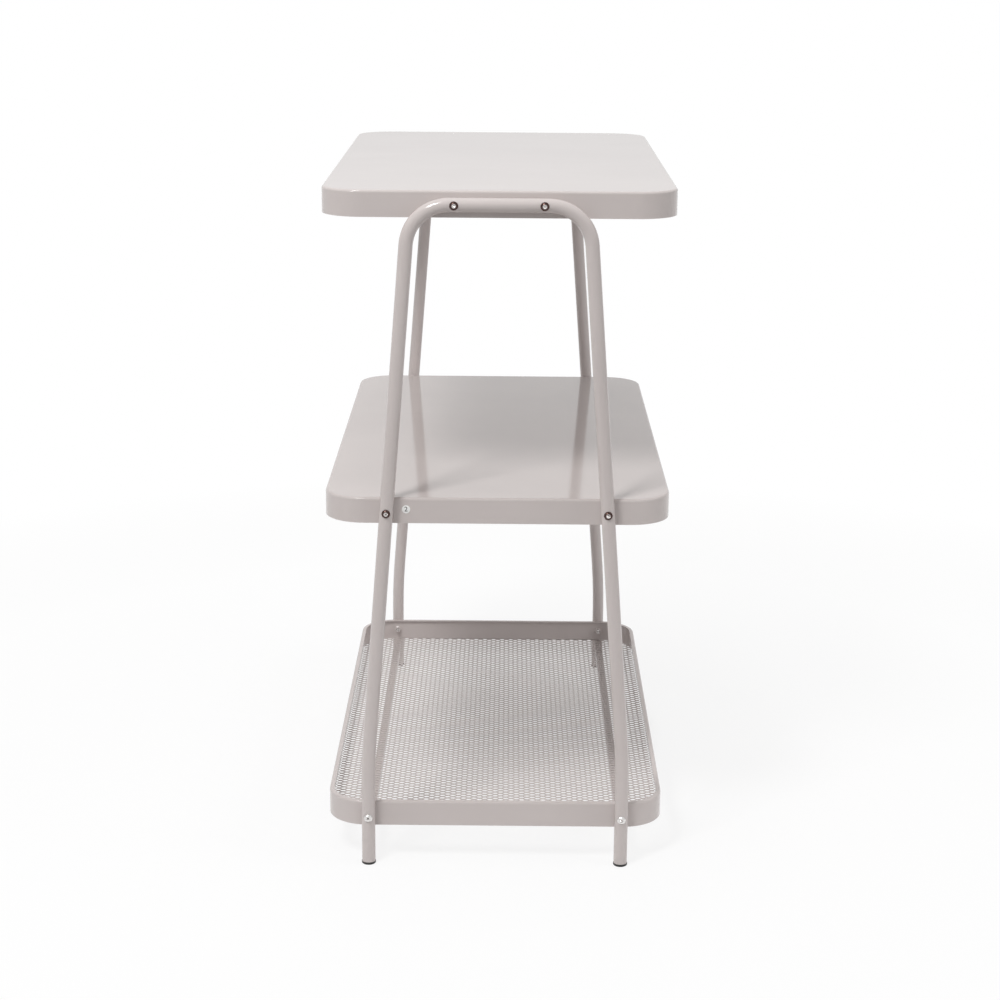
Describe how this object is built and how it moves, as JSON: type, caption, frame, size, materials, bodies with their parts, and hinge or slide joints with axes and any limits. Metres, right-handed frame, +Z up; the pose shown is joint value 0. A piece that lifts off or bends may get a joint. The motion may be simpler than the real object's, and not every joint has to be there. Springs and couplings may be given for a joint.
{
  "type": "three-tier shelf",
  "caption": "Free-standing metal shelf with flat trays on top and at half height, a mesh basket low down, and a bent tube hoop at each end.",
  "frame": {"origin": "on the floor, under the middle of the shelf", "axes": "+X across the shelf to the right, +Y along it from the front hoop to the rear hoop, +Z up"},
  "size_m": [0.4, 0.7276, 0.8],
  "materials": {
    "tray_paint": "satin powder coat",
    "mesh_paint": "satin powder coat",
    "hoop_paint": "satin powder coat",
    "screw_steel": "zinc plated",
    "foot_plastic": "matt"
  },
  "bodies": {
    "root": {"top_tray": "tray_paint", "middle_tray": "tray_paint", "basket_rim": "tray_paint", "mesh_floor": "mesh_paint", "support_bar_left": "tray_paint", "support_bar_right": "tray_paint", "front_hoop": "hoop_paint", "rear_hoop": "hoop_paint", "foot_cap_front_left": "foot_plastic", "foot_cap_front_right": "foot_plastic", "foot_cap_rear_left": "foot_plastic", "foot_cap_rear_right": "foot_plastic", "screws_top_front": "screw_steel", "screws_top_rear": "screw_steel", "screws_middle_front": "screw_steel", "screws_middle_rear": "screw_steel", "screws_basket_front": "screw_steel", "screws_basket_rear": "screw_steel", "nuts_top_front": "tray_paint", "nuts_top_rear": "tray_paint", "nuts_middle_front": "tray_paint", "nuts_middle_rear": "tray_paint", "nuts_basket_front": "tray_paint", "nuts_basket_rear": "tray_paint"}
  },
  "joints": []
}
